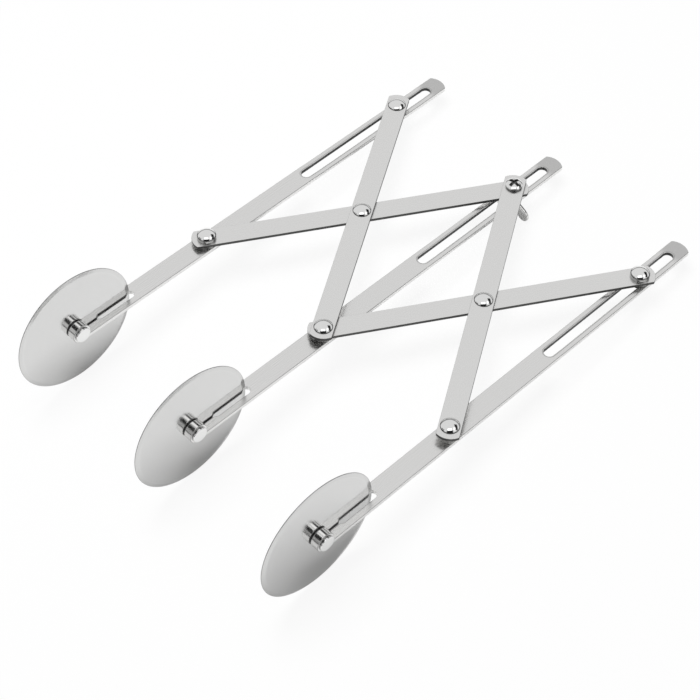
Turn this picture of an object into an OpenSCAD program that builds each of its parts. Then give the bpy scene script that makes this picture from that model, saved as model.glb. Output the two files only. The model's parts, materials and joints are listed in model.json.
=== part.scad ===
// Expandable dough cutter. Three slotted arms each carry a cutting wheel in a
// forked front end. Two pairs of crossed links keep the arms parallel. Sliding
// the rear pins along the slots sets the distance between the wheels, and a
// screw with a wing nut through the middle slot locks it.
//
// Row frame, in mm: +X runs from the wheels to the handle ends, +Y across the
// arms, +Z up. Left and right are as seen from the wheel end, so left is +Y.
// The tool stands on its wheels and on the tips of the wing nut. The origin is
// at the middle of its box, at floor level.
//
// The modules work in the arms' own frame: X = 0 on the wheel axis and Z = 0 on
// the top face of the arms. place() tips that frame into the resting position.

/* [Linkage] */
// Distance between neighbouring arms in the stored position
spacing = 74.7; // [40:0.5:110]
// Angle between links and arms when closed, with the pins at the slots' rear ends
closed_angle = 9.16; // [8:0.02:14]
// Angle between links and arms when wide open, with the pins at the slots' front ends
open_angle = 64.4; // [55:0.1:68]
// Distance between the two end holes of a link
link_pitch = 141.3; // [137:0.5:160]
// Thickness of a link
link_t = 1.5; // [1.2:0.1:2]
// Distance from a link's end hole to the corners of its end
link_over = 5; // [4.8:0.1:7]

/* [Arms] */
// Width of the flat bar that the arms and links are cut from
bar_w = 9.8; // [9.4:0.1:12]
// Thickness of an arm
arm_t = 2; // [1.6:0.1:2.5]
// Distance from the wheel axis to the front rivet
pivot_x = 75.3; // [65:0.5:90]
// Width of the long slot for the sliding pin
slot_w = 4.8; // [4.4:0.1:5]
// How far the pressed strips beside the slot reach round its ends
coin_w = 1; // [0.6:0.1:1.2]
// Depth of the pressed strips below the arm's top face
coin_depth = 0.15; // [0.1:0.05:0.3]
// Solid length from the slot's rear end to the corners of the arm's end
end_land = 6; // [5:0.5:10]
// Height of the shallow arc that closes the end of each bar
end_bulge = 1.8; // [1.2:0.1:2.4]

/* [Fork and wheel] */
// Wheel diameter
wheel_d = 60; // [54:1:66]
// Wheel disc thickness
wheel_t = 1; // [0.8:0.1:1.2]
// Width of the ground bevel on each side of the rim
bevel_w = 2; // [1:0.1:3]
// Thickness left at the cutting edge
edge_t = 0.3; // [0.2:0.05:0.5]
// Free width between the disc and the fork's prongs on each side
fork_play = 0.5; // [0.4:0.05:0.8]
// Extra width on each side where the fork's slot opens up beside the hub
fork_step = 1; // [0.8:0.1:1.4]
// Distance from the wheel axis to that step
fork_step_x = 12.3; // [10:0.1:16]
// Free length between the rim and the rear end of the fork's slot
rim_gap = 2.4; // [1.6:0.1:4]
// Diameter of the axle pin
axle_d = 5; // [4:0.1:5.6]
// Direction of the curled eye's free end, in degrees from the arm's rearward direction
curl_end = -20; // [-30:1:10]
// Diameter of the axle's flat heads
axle_head_d = 7.2; // [6.6:0.1:8]
// Thickness of the axle's flat heads
axle_head_h = 1.2; // [0.8:0.1:1.6]
// Diameter of the hub's collars
hub_d = 8.6; // [8.4:0.1:9]
// Diameter of the hub where the disc sits on it
hub_neck_d = 7; // [6.6:0.1:7.4]

/* [Rivets] */
// Shank diameter of the rivets and sliding pins
rivet_d = 4; // [3.6:0.1:4.2]
// Diameter of the domed heads
head_d = 8.4; // [8:0.1:9]
// Height of the straight wall under a dome
head_wall = 0.6; // [0.4:0.1:1]
// Height of a dome above its wall
dome_h = 1.5; // [1:0.1:2]
// Diameter of the closed heads below the bars
tail_d = 7.2; // [6.8:0.1:8]
// Height of the closed heads
tail_h = 1; // [0.7:0.1:1.4]
// Outer diameter of the washers, spacers and collars
washer_d = 9.2; // [9:0.1:9.6]
// Thickness of the washers between the arms and the lower links
washer_t = 1; // [0.8:0.1:1.6]

/* [Lock] */
// Diameter of the lock screw
screw_d = 4; // [3.6:0.1:4.2]
// Diameter of the screw's pan head
screw_head_d = 7.6; // [7.2:0.1:8.4]
// Height of the screw's pan head
screw_head_h = 2.6; // [2.2:0.1:3]
// Span of the cross recess
cross_span = 4.2; // [3.6:0.1:4.8]
// Width of the cross recess
cross_w = 1; // [0.8:0.1:1.2]
// Depth of the cross recess
cross_depth = 1.5; // [1.2:0.1:1.8]
// Thickness of the plain washer above the wing nut
lock_washer_t = 0.8; // [0.6:0.1:1.2]
// Base diameter of the wing nut's hub
nut_d = 8; // [7.6:0.1:8.8]
// Lower diameter of the wing nut's hub
nut_end_d = 7; // [6.4:0.1:7.4]
// Height of the wing nut's hub
nut_h = 4.4; // [4:0.1:5]
// Length of the screw below the wing nut's hub
screw_out = 1; // [0.5:0.1:2]
// Distance between the outer edges of the wings
wing_span = 20; // [18:0.5:24]
// Height of the wing nut from its base to the wings' tips
wing_h = 10; // [9:0.5:12]
// Radius of a wing's round end
wing_r = 3; // [2.6:0.1:3.4]
// Thickness of a wing
wing_t = 1.8; // [1.4:0.1:2.2]

/* [Fits] */
// Radial clearance of the turning fits
run_fit = 0.05; // [0.03:0.01:0.1]
// Axial play between parts that turn on each other
play = 0.05; // [0.03:0.01:0.1]
// Axial play on each side of a hub in its fork
hub_play = 0.1; // [0.05:0.05:0.3]

/* [Hidden] */

// Sub-part to draw, or all of them

$fn = 96;
// How far cutters reach past what they cut, and how far joined shapes sink into each other
over_cut = 1;
root_sink = 1;
// Turn of the cross recess
cross_turn = 45;

wheel_r = wheel_d / 2;
axle_r = axle_d / 2;
eye_r = axle_r + arm_t;
axle_rise = axle_r;

// Link angle from the arms, and the sliding pins' distance behind the front rivets
link_angle = asin(spacing / link_pitch);
pin_run = link_pitch * cos(link_angle);
rear_x = pivot_x + pin_run;
cross_x = pivot_x + pin_run / 2;

// Slot centres at the two ends of the travel
slot_from = pivot_x + link_pitch * cos(open_angle);
slot_to = pivot_x + link_pitch * cos(closed_angle);
arm_tip = slot_to + slot_w / 2 + end_land + end_bulge;
end_r = (pow(bar_w / 2, 2) + pow(end_bulge, 2)) / (2 * end_bulge);

// Fork slot
fork_w = wheel_t + 2 * fork_play;
fork_open_w = fork_w + 2 * fork_step;
fork_end = sqrt(pow(wheel_r, 2) - pow(axle_rise, 2)) + rim_gap;
hub_len = fork_open_w - 2 * hub_play;

// Heights of the stacked layers above the arms
low_z = washer_t + play;
low_top = low_z + link_t;
up_z = low_top + play;
up_top = up_z + link_t;
head_z = up_top + play;

// Lock stack below the middle arm
lock_z = -arm_t - play;
nut_z = lock_z - lock_washer_t;
wing_tip_z = nut_z - wing_h;
screw_end = nut_z - nut_h - screw_out;

// Resting position: wheels and wing tips on the floor
tip_x = rear_x + wing_t / 2;
tip_z = wing_tip_z - axle_rise;
tilt = asin(wheel_r / norm([tip_x, tip_z])) + atan2(tip_z, tip_x);
rear_reach = arm_tip * cos(tilt) - axle_rise * sin(tilt);
mid_x = (rear_reach - wheel_r) / 2;

left_y = spacing;
right_y = -spacing;

bar_colour = [0.80, 0.80, 0.79];
link_colour = [0.76, 0.76, 0.75];
wheel_colour = [0.70, 0.70, 0.70];
bright_colour = [0.88, 0.88, 0.88];
dark_colour = [0.55, 0.55, 0.56];

// Moves a part from the arms' frame to the resting position
module place() {
    translate([-mid_x, 0, wheel_r]) rotate([0, tilt, 0]) translate([0, 0, -axle_rise]) children();
}

// Plate-shaped cutter with two round ends, along X
module long_hole(from_x, to_x, width, from_z, to_z) {
    height = to_z - from_z;
    translate([from_x, -width / 2, from_z]) cube([to_x - from_x, width, height]);
    for (x = [from_x, to_x]) translate([x, 0, from_z]) cylinder(d = width, h = height);
}

// What is cut away to leave a shallow arc at a bar's end; the tip is at X = 0 and the bar at X < 0
module end_trim(thickness) {
    difference() {
        translate([-end_r, -bar_w, -over_cut])
            cube([end_r + over_cut, 2 * bar_w, thickness + 2 * over_cut]);
        translate([-end_r, 0, -2 * over_cut]) cylinder(r = end_r, h = thickness + 4 * over_cut);
    }
}

// Spherical cap of diameter d and height h that stands on Z = 0
module dome(d, h) {
    r = (d * d / 4 + h * h) / (2 * h);
    rotate_extrude() intersection() {
        translate([0, h - r]) circle(r = r);
        square([d, h]);
    }
}

// Flat ring
module ring(outer_d, inner_d, from_z, to_z) {
    difference() {
        translate([0, 0, from_z]) cylinder(d = outer_d, h = to_z - from_z);
        translate([0, 0, from_z - over_cut]) cylinder(d = inner_d, h = to_z - from_z + 2 * over_cut);
    }
}

// Rivet along Z with a dome above from_head and a closed head below to_tail
module rivet(from_head, to_tail) {
    translate([0, 0, to_tail]) cylinder(d = rivet_d, h = from_head - to_tail);
    translate([0, 0, from_head]) cylinder(d = head_d, h = head_wall);
    translate([0, 0, from_head + head_wall]) dome(head_d, dome_h);
    translate([0, 0, to_tail]) mirror([0, 0, 1]) dome(tail_d, tail_h);
}

// Side view of an arm: the flat bar and the eye curled up from its front end
module arm_profile() {
    reach = 2 * eye_r;
    translate([0, -arm_t]) square([arm_tip, arm_t]);
    translate([0, axle_rise]) difference() {
        circle(r = eye_r);
        circle(r = axle_r);
        polygon([[0, 0], [0, -reach], [reach, -reach], [reach * cos(curl_end), reach * sin(curl_end)]]);
    }
}

// One arm on Y = 0
module arm() {
    fork_top = axle_rise + eye_r + over_cut;
    fork_low = -arm_t - over_cut;
    difference() {
        rotate([90, 0, 0]) translate([0, 0, -bar_w / 2]) linear_extrude(bar_w) arm_profile();
        // Fork slot for the disc, wider beside the hub
        long_hole(-2 * eye_r, fork_end - fork_w / 2, fork_w, fork_low, fork_top);
        translate([-2 * eye_r, -fork_open_w / 2, fork_low])
            cube([2 * eye_r + fork_step_x, fork_open_w, fork_top - fork_low]);
        // Front rivet hole
        translate([pivot_x, 0, fork_low]) cylinder(d = rivet_d, h = arm_t + 2 * over_cut);
        // Long slot, and the strips beside it that are pressed a little lower than the ends
        long_hole(slot_from, slot_to, slot_w, fork_low, over_cut);
        long_hole(slot_from, slot_to, slot_w + 2 * coin_w, -coin_depth, over_cut);
        translate([slot_from, -bar_w, -coin_depth])
            cube([slot_to - slot_from, 2 * bar_w, coin_depth + over_cut]);
        translate([arm_tip, 0, -arm_t]) end_trim(arm_t);
    }
}

// One link from its first hole along +X, with the diameters of its three holes
module link(first_d, middle_d, last_d) {
    tip = link_over + end_bulge;
    hole_ds = [first_d, middle_d, last_d];
    difference() {
        translate([-tip, -bar_w / 2, 0]) cube([link_pitch + 2 * tip, bar_w, link_t]);
        translate([link_pitch + tip, 0, 0]) end_trim(link_t);
        translate([-tip, 0, 0]) rotate([0, 0, 180]) end_trim(link_t);
        for (i = [0:2])
            translate([i * link_pitch / 2, 0, -over_cut])
                cylinder(d = hole_ds[i], h = link_t + 2 * over_cut);
    }
}

// Cutting disc with a bevelled rim, on Y = 0
module wheel() {
    half_t = wheel_t / 2;
    half_edge = edge_t / 2;
    flat_r = wheel_r - bevel_w;
    neck_r = hub_neck_d / 2;
    on_axle() rotate_extrude() polygon([
        [neck_r, -half_t], [flat_r, -half_t], [wheel_r, -half_edge],
        [wheel_r, half_edge], [flat_r, half_t], [neck_r, half_t]
    ]);
}

// Hub pressed into the disc, with a collar on each side and a running bore
module hub() {
    half_t = wheel_t / 2;
    half_len = hub_len / 2;
    bore_r = axle_r + run_fit;
    neck_r = hub_neck_d / 2;
    collar_r = hub_d / 2;
    on_axle() rotate_extrude() polygon([
        [bore_r, -half_len], [collar_r, -half_len], [collar_r, -half_t], [neck_r, -half_t],
        [neck_r, half_t], [collar_r, half_t], [collar_r, half_len], [bore_r, half_len]
    ]);
}

// Axle pin with a flat head outside each eye
module axle() {
    half_w = bar_w / 2;
    on_axle() {
        translate([0, 0, -half_w]) cylinder(d = axle_d, h = bar_w);
        translate([0, 0, half_w]) cylinder(d = axle_head_d, h = axle_head_h);
        translate([0, 0, -half_w - axle_head_h]) cylinder(d = axle_head_d, h = axle_head_h);
    }
}

// Turns a part made round Z onto the wheel axis
module on_axle() {
    translate([0, 0, axle_rise]) rotate([90, 0, 0]) children();
}

// Pan-head screw with a cross recess, on the rear pin position of the middle arm
module screw() {
    difference() {
        union() {
            translate([0, 0, screw_end]) cylinder(d = screw_d, h = up_top - screw_end);
            translate([0, 0, up_top]) cylinder(d = screw_head_d, h = screw_head_h / 2);
            translate([0, 0, up_top + screw_head_h / 2]) dome(screw_head_d, screw_head_h / 2);
        }
        for (turn = [cross_turn, cross_turn + 90])
            translate([0, 0, up_top + screw_head_h - cross_depth]) rotate([0, 0, turn])
                translate([-cross_span / 2, -cross_w / 2, 0])
                    cube([cross_span, cross_w, cross_depth + over_cut]);
    }
}

// One wing of the nut in the YZ plane: a round end tied to the hub by a tapering web
module wing_outline() {
    end_y = wing_span / 2 - wing_r;
    end_z = -wing_h + wing_r;
    root_y = nut_end_d / 2 - root_sink;
    step = wing_r * cos(45);
    translate([end_y, end_z]) circle(r = wing_r);
    polygon([
        [root_y, -root_sink / 2], [end_y + step, end_z + step],
        [end_y - step, end_z - step], [root_y, -nut_h + root_sink / 2]
    ]);
}

// Wing nut with its base at Z = 0 and its wings hanging down along Y
module nut() {
    bore_d = screw_d + 2 * run_fit;
    difference() {
        union() {
            translate([0, 0, -nut_h]) cylinder(d1 = nut_end_d, d2 = nut_d, h = nut_h);
            for (side = [0, 1]) mirror([0, side, 0])
                rotate([90, 0, 90]) translate([0, 0, -wing_t / 2]) linear_extrude(wing_t) wing_outline();
        }
        translate([0, 0, -wing_h - over_cut]) cylinder(d = bore_d, h = wing_h + 2 * over_cut);
    }
}

module at_front(y) { translate([pivot_x, y, 0]) children(); }
module at_rear(y) { translate([rear_x, y, 0]) children(); }
module at_cross(y) { translate([cross_x, y, 0]) children(); }

module arm_left() { color(bar_colour) place() translate([0, left_y, 0]) arm(); }
module arm_middle() { color(bar_colour) place() arm(); }
module arm_right() { color(bar_colour) place() translate([0, right_y, 0]) arm(); }

module wheel_left() { color(wheel_colour) place() translate([0, left_y, 0]) wheel(); }
module wheel_middle() { color(wheel_colour) place() wheel(); }
module wheel_right() { color(wheel_colour) place() translate([0, right_y, 0]) wheel(); }

module hub_left() { color(dark_colour) place() translate([0, left_y, 0]) hub(); }
module hub_middle() { color(dark_colour) place() hub(); }
module hub_right() { color(dark_colour) place() translate([0, right_y, 0]) hub(); }

module axle_left() { color(bright_colour) place() translate([0, left_y, 0]) axle(); }
module axle_middle() { color(bright_colour) place() axle(); }
module axle_right() { color(bright_colour) place() translate([0, right_y, 0]) axle(); }

// Upper link of the left pair: from the middle arm's front rivet to the left arm's slot
module link_left_upper() {
    color(link_colour) place() at_front(0) rotate([0, 0, link_angle]) translate([0, 0, up_z])
        link(rivet_d + 2 * run_fit, rivet_d, rivet_d);
}

// Lower link of the left pair: from the left arm's front rivet to the middle arm's slot
module link_left_lower() {
    color(link_colour) place() at_front(left_y) rotate([0, 0, -link_angle]) translate([0, 0, low_z])
        link(rivet_d + 2 * run_fit, rivet_d + 2 * run_fit, screw_d + 2 * run_fit);
}

// Upper link of the right pair: from the right arm's front rivet to the middle arm's slot
module link_right_upper() {
    color(link_colour) place() at_front(right_y) rotate([0, 0, link_angle]) translate([0, 0, up_z])
        link(rivet_d + 2 * run_fit, rivet_d, screw_d);
}

// Lower link of the right pair: from the middle arm's front rivet to the right arm's slot
module link_right_lower() {
    color(link_colour) place() at_front(0) rotate([0, 0, -link_angle]) translate([0, 0, low_z])
        link(rivet_d + 2 * run_fit, rivet_d + 2 * run_fit, rivet_d);
}

module cross_rivet_left() {
    color(bright_colour) place() at_cross(left_y / 2) rivet(up_top, low_z - play);
}
module cross_rivet_right() {
    color(bright_colour) place() at_cross(right_y / 2) rivet(up_top, low_z - play);
}

module front_rivet_left() { color(bright_colour) place() at_front(left_y) rivet(head_z, -arm_t); }
module front_rivet_middle() { color(bright_colour) place() at_front(0) rivet(head_z, -arm_t); }
module front_rivet_right() { color(bright_colour) place() at_front(right_y) rivet(head_z, -arm_t); }

module front_washer_left() {
    color(bright_colour) place() at_front(left_y) ring(washer_d, rivet_d, 0, washer_t);
}
module front_collar_left() {
    color(bright_colour) place() at_front(left_y) ring(washer_d, rivet_d, low_top + play, head_z);
}
module front_washer_middle() {
    color(bright_colour) place() at_front(0) ring(washer_d, rivet_d, 0, washer_t);
}
module front_spacer_right() {
    color(bright_colour) place() at_front(right_y) ring(washer_d, rivet_d, 0, up_z - play);
}

module slide_rivet_left() {
    color(bright_colour) place() at_rear(left_y) rivet(up_top, -arm_t - play);
}
module slide_spacer_left() {
    color(bright_colour) place() at_rear(left_y) ring(washer_d, rivet_d, play, up_z);
}

module slide_rivet_right() {
    color(bright_colour) place() at_rear(right_y) rivet(head_z, -arm_t - play);
}
module slide_washer_right() {
    color(bright_colour) place() at_rear(right_y) ring(washer_d, rivet_d, play, low_z);
}
module slide_collar_right() {
    color(bright_colour) place() at_rear(right_y) ring(washer_d, rivet_d, low_top, head_z);
}

module lock_screw() { color(bright_colour) place() at_rear(0) screw(); }
module lock_spacer() {
    color(bright_colour) place() at_rear(0) ring(washer_d, screw_d, play, low_z - play);
}
module lock_washer() {
    color(bright_colour) place() at_rear(0) ring(washer_d, screw_d + 2 * run_fit, nut_z, lock_z);
}
module wing_nut() { color(bar_colour) place() at_rear(0) translate([0, 0, nut_z]) nut(); }

arm_left();
arm_middle();
arm_right();
wheel_left();
wheel_middle();
wheel_right();
hub_left();
hub_middle();
hub_right();
axle_left();
axle_middle();
axle_right();
link_left_upper();
link_left_lower();
link_right_upper();
link_right_lower();
cross_rivet_left();
cross_rivet_right();
front_rivet_left();
front_rivet_middle();
front_rivet_right();
front_washer_left();
front_collar_left();
front_washer_middle();
front_spacer_right();
slide_rivet_left();
slide_spacer_left();
slide_rivet_right();
slide_washer_right();
slide_collar_right();
lock_screw();
lock_spacer();
lock_washer();
wing_nut();
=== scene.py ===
"""Looks of an expandable dough cutter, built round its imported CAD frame.

Lengths of the pieces are in millimetres in the arms' own space: x runs from the
wheel axis to the handle ends, y across the arms and z up from their top faces.
Every piece is a numpy surface that is placed in the tool's frame, in metres.
"""

import json
import logging
import math
from dataclasses import dataclass, field, fields
from enum import Enum
from typing import Any, Callable, Optional

import bmesh
import bpy
import numpy as np
from mathutils import Matrix


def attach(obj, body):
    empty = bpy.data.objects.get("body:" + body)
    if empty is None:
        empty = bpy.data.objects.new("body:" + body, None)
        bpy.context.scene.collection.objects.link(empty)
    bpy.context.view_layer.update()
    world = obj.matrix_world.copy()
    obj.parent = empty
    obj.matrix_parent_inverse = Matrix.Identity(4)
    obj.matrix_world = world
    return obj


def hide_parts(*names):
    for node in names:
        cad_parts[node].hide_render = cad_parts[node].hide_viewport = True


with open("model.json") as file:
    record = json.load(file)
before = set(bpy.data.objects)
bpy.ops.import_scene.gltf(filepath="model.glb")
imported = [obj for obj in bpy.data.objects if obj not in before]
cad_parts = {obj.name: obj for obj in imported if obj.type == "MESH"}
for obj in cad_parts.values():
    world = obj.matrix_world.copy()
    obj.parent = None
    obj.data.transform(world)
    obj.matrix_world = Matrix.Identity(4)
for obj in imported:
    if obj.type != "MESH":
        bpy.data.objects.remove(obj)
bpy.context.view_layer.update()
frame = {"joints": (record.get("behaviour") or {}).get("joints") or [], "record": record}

LOG = logging.getLogger("dough_cutter")
MM = 0.001
MERGE_M = 2e-6
UV_NAME = "sheet"

Array = np.ndarray
Triple = tuple[float, float, float]
Socket = bpy.types.NodeSocket
# A rule is worked out for a whole grid of points at once.
Rule = Callable[[Array], Array]


class Slot(Enum):
    """Material slots of the record."""

    BAR = "bar"
    DISC = "disc"
    HUB = "hub"
    RIVET = "rivet"
    WASHER = "washer"
    NUT = "nut"


class Side(Enum):
    """The three arms, with their place across the tool in arm spacings."""

    LEFT = 1
    MIDDLE = 0
    RIGHT = -1

    @property
    def label(self) -> str:
        """Name as it stands in the node names."""
        return self.name.lower()


class Layer(Enum):
    """The two layers in which the crossed links lie."""

    LOWER = "lower"
    UPPER = "upper"


def smooth_step(value: Array) -> Array:
    """Cubic step: 3 t^2 - 2 t^3 with t held between 0 and 1.

    Args:
        value: Raw step position, 0 at the start and 1 at the end.

    Returns:
        The eased values.
    """
    t = np.clip(value, 0.0, 1.0)
    return t * t * (3.0 - 2.0 * t)


def arc_angles(start: float, end: float, count: int) -> Array:
    """Angles in radians, evenly spaced from start to end in degrees."""
    return np.radians(np.linspace(start, end, count))


@dataclass(frozen=True)
class Local:
    """A small right-handed frame in the tool: an origin and three unit axes."""

    origin: Array
    ex: Array
    ey: Array
    ez: Array

    def place(self, points: Array) -> Array:
        """Turns local millimetres into the tool's metres.

        Args:
            points: Array whose last axis holds x, y and z.

        Returns:
            The points origin + x ex + y ey + z ez, in metres.
        """
        return self.origin + (points @ np.stack([self.ex, self.ey, self.ez])) * MM


@dataclass(frozen=True)
class ArmSpace:
    """The arms' space at rest, read from the joint on the middle front rivet."""

    pivot: Array
    along: Array
    across: Array
    up: Array
    pivot_x: float

    @classmethod
    def from_frame(cls, pivot_x: float) -> "ArmSpace":
        """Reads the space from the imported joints.

        Args:
            pivot_x: Distance from the wheel axis to the front rivets.

        Returns:
            The arms' space.
        """
        hinge = next(joint for joint in frame["joints"] if joint["name"] == "expand")
        up = np.asarray(hinge["axis"], dtype=float)
        up = up / np.linalg.norm(up)
        across = np.array([0.0, 1.0, 0.0])
        return cls(np.asarray(hinge["pos_m"], dtype=float), np.cross(across, up), across, up, pivot_x)

    def upright(self, x: float, y: float, z: float = 0.0, turn: float = 0.0) -> Local:
        """A frame at (x, y, z) whose z stands on the arms, turned about it.

        Args:
            x: Distance behind the wheel axis.
            y: Distance across the arms.
            z: Height above the arms' top faces.
            turn: Turn about the upright axis, in radians.

        Returns:
            The frame.
        """
        origin = self.pivot + ((x - self.pivot_x) * self.along + y * self.across + z * self.up) * MM
        c, s = math.cos(turn), math.sin(turn)
        return Local(origin, c * self.along + s * self.across, -s * self.along + c * self.across, self.up)

    def sideways(self, x: float, y: float, z: float) -> Local:
        """A frame at (x, y, z) whose z runs across the arms, along a wheel's axis."""
        return Local(self.upright(x, y, z).origin, self.up, self.along, self.across)


@dataclass
class Shell:
    """Collects the surface patches of one piece and turns them into a mesh."""

    points: list[Array] = field(default_factory=list)
    uvs: list[Array] = field(default_factory=list)
    wears: list[Array] = field(default_factory=list)
    raws: list[Array] = field(default_factory=list)
    quads: list[Array] = field(default_factory=list)
    caps: list[list[int]] = field(default_factory=list)
    count: int = 0

    def patch(self, points: Array, uv: Array, wear: Any = 0.0, raw: Any = 0.0,
              keep: Optional[Array] = None) -> Array:
        """Adds a grid of points, each square of four neighbours being a face.

        Args:
            points: Grid of shape (rows, columns, 3).
            uv: Grid of shape (rows, columns, 2).
            wear: How rubbed the surface is, 0 to 1, a number or a grid.
            raw: How far the surface is left as cut or rolled, or darkened as painted shade, 0 to 1, a number
                or a grid.
            keep: Which squares become faces, of shape (rows - 1, columns - 1).

        Returns:
            The grid of point numbers.
        """
        rows, columns = points.shape[:2]
        index = np.arange(rows * columns).reshape(rows, columns) + self.count
        quads = np.stack([index[:-1, :-1], index[1:, :-1], index[1:, 1:], index[:-1, 1:]], axis=-1)
        self.quads.append((quads[keep] if keep is not None else quads).reshape(-1, 4))
        self.points.append(points.reshape(-1, 3))
        self.uvs.append(uv.reshape(-1, 2))
        self.wears.append(np.broadcast_to(wear, (rows, columns)).ravel())
        self.raws.append(np.broadcast_to(raw, (rows, columns)).ravel())
        self.count += rows * columns
        return index

    def cap(self, index: Array) -> None:
        """Closes a ring of points with one face."""
        self.caps.append([int(i) for i in index])

    def mesh(self, name: str, place: Local, sharp: float = 35.0) -> bpy.types.Object:
        """Makes the object: points placed, doubles merged, faces turned outwards.

        Args:
            name: The object's name.
            place: The frame that the points are in.
            sharp: Angle in degrees above which an edge is drawn sharp.

        Returns:
            The new object, linked to the scene.
        """
        points = place.place(np.concatenate(self.points))
        quads = np.concatenate(self.quads)
        mesh = bpy.data.meshes.new(name)
        mesh.from_pydata(points.tolist(), [], quads.tolist() + self.caps)
        corner = np.concatenate([quads.ravel()] + [np.asarray(cap, dtype=int) for cap in self.caps])
        layer = mesh.uv_layers.new(name=UV_NAME)
        layer.data.foreach_set("uv", np.concatenate(self.uvs)[corner].astype(np.float32).ravel())
        # The raw attribute holds both cut walls and bands of painted shade.
        for label, values in (("wear", self.wears), ("raw", self.raws)):
            attribute = mesh.attributes.new(label, "FLOAT", "POINT")
            attribute.data.foreach_set("value", np.concatenate(values).astype(np.float32))
        work = bmesh.new()
        work.from_mesh(mesh)
        bmesh.ops.remove_doubles(work, verts=work.verts, dist=MERGE_M)
        bmesh.ops.recalc_face_normals(work, faces=work.faces)
        work.to_mesh(mesh)
        work.free()
        mesh.shade_smooth()
        mesh.set_sharp_from_angle(angle=math.radians(sharp))
        piece = bpy.data.objects.new(name, mesh)
        bpy.context.scene.collection.objects.link(piece)
        return piece


@dataclass(frozen=True)
class Rows:
    """Rows across half a flat bar, each from an inner to an outer point in the plane.

    The inner points lie on the centre line or on the rim of a cut, the outer
    ones on the bar's edge. The normals point out of the sheet.
    """

    inner: Array
    inner_out: Array
    outer: Array
    outer_out: Array
    cut: Array
    ring: Array

    @staticmethod
    def join(parts: list["Rows"]) -> "Rows":
        """Puts rows one after the other."""
        names = [entry.name for entry in fields(Rows)]
        return Rows(*(np.concatenate([getattr(part, name) for part in parts]) for name in names))

    def pick(self, chosen: slice) -> "Rows":
        """Some of the rows."""
        return Rows(*(getattr(self, entry.name)[chosen] for entry in fields(Rows)))

    @staticmethod
    def of(x: Array, y: Array, out_x: Array, out_y: Array, half: float, cut: bool,
           ring: float = 0.0) -> "Rows":
        """Rows straight across the bar from the inner points, or from a ring round them.

        Args:
            x: Place along the bar.
            y: Inner half width.
            out_x: Inner normal along the bar.
            out_y: Inner normal across the bar.
            half: Half the bar's width.
            cut: Whether the rows lie on a cut.
            ring: Width of the ring round the cut that gets its own columns.

        Returns:
            The rows.
        """
        one, nil = np.ones_like(x), np.zeros_like(x)
        inner, inner_out = np.stack([x, y], -1), np.stack([out_x, out_y], -1)
        outer, outer_out = np.stack([x - ring * out_x, half * one], -1), np.stack([nil, one], -1)
        return Rows(inner, inner_out, outer, outer_out, np.full(x.shape, cut), np.full(x.shape, ring))

    @staticmethod
    def solid(start: float, end: float, count: int, half: float) -> "Rows":
        """Rows from the centre line, evenly spaced from start to end."""
        x = np.linspace(start, end, count)
        return Rows.of(x, 0.0 * x, 0.0 * x, 0.0 * x, half, False)

    @staticmethod
    def hole(front: float, rear: float, radius: float, half: float, steps: int = 10,
             ring: float = 0.0) -> "Rows":
        """Rows past a slot with round ends: a half circle, two straight sides, a half circle.

        Args:
            front: Centre of the front end.
            rear: Centre of the rear end, the same as front for a round hole.
            radius: Half the slot's width.
            half: Half the bar's width.
            steps: Number of rows on each quarter circle.
            ring: Width of the ring round the slot that gets its own columns.

        Returns:
            The rows.
        """
        a = arc_angles(0.0, 90.0, steps)
        first = Rows.of(front - radius * np.cos(a), radius * np.sin(a), np.cos(a), -np.sin(a),
                        half, True, ring)
        b = a[::-1] if rear > front else a[-2::-1]
        last = Rows.of(rear + radius * np.cos(b), radius * np.sin(b), -np.cos(b), -np.sin(b),
                       half, True, ring)
        return Rows.join([first, last])

    @staticmethod
    def end(pivot: float, tip: float, half: float, radius: float, corner: float,
            corner_steps: int = 8, arc_steps: int = 24) -> "Rows":
        """Rows that fan from one point to a shallow arc with eased corners.

        The outer curve is a corner arc and then an arc of the given radius, whose
        centre lies on the bar's centre line.

        Args:
            pivot: Where the fan starts on the centre line.
            tip: The end of the bar on the centre line.
            half: Half the bar's width.
            radius: Radius of the shallow arc.
            corner: Radius of the corners.
            corner_steps: Number of rows on the corner.
            arc_steps: Number of rows on the shallow arc, with the one they share.

        Returns:
            The rows.
        """
        centre = tip - radius
        corner_x = centre + math.sqrt((radius - corner) ** 2 - (half - corner) ** 2)
        meet = math.degrees(math.atan2(half - corner, corner_x - centre))
        a, b = arc_angles(90.0, meet, corner_steps), arc_angles(meet, 0.0, arc_steps)[1:]
        turn = np.concatenate([a, b])
        out = np.stack([np.cos(turn), np.sin(turn)], -1)
        base = np.where(np.arange(turn.size)[:, None] < a.size, [[corner_x, half - corner]], [[centre, 0.0]])
        size = np.where(np.arange(turn.size) < a.size, corner, radius)[:, None]
        inner = np.stack([np.full(turn.shape, pivot), np.zeros_like(turn)], -1)
        return Rows(inner, 0.0 * out, base + size * out, out, np.zeros(turn.shape, dtype=bool), 0.0 * turn)

    def mirrored(self) -> "Rows":
        """The rows in reverse order with x turned round, for the bar's other end."""
        flip = np.array([-1.0, 1.0])
        return Rows(self.inner[::-1] * flip, self.inner_out[::-1] * flip, self.outer[::-1] * flip,
                    self.outer_out[::-1] * flip, self.cut[::-1], self.ring[::-1])


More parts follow.
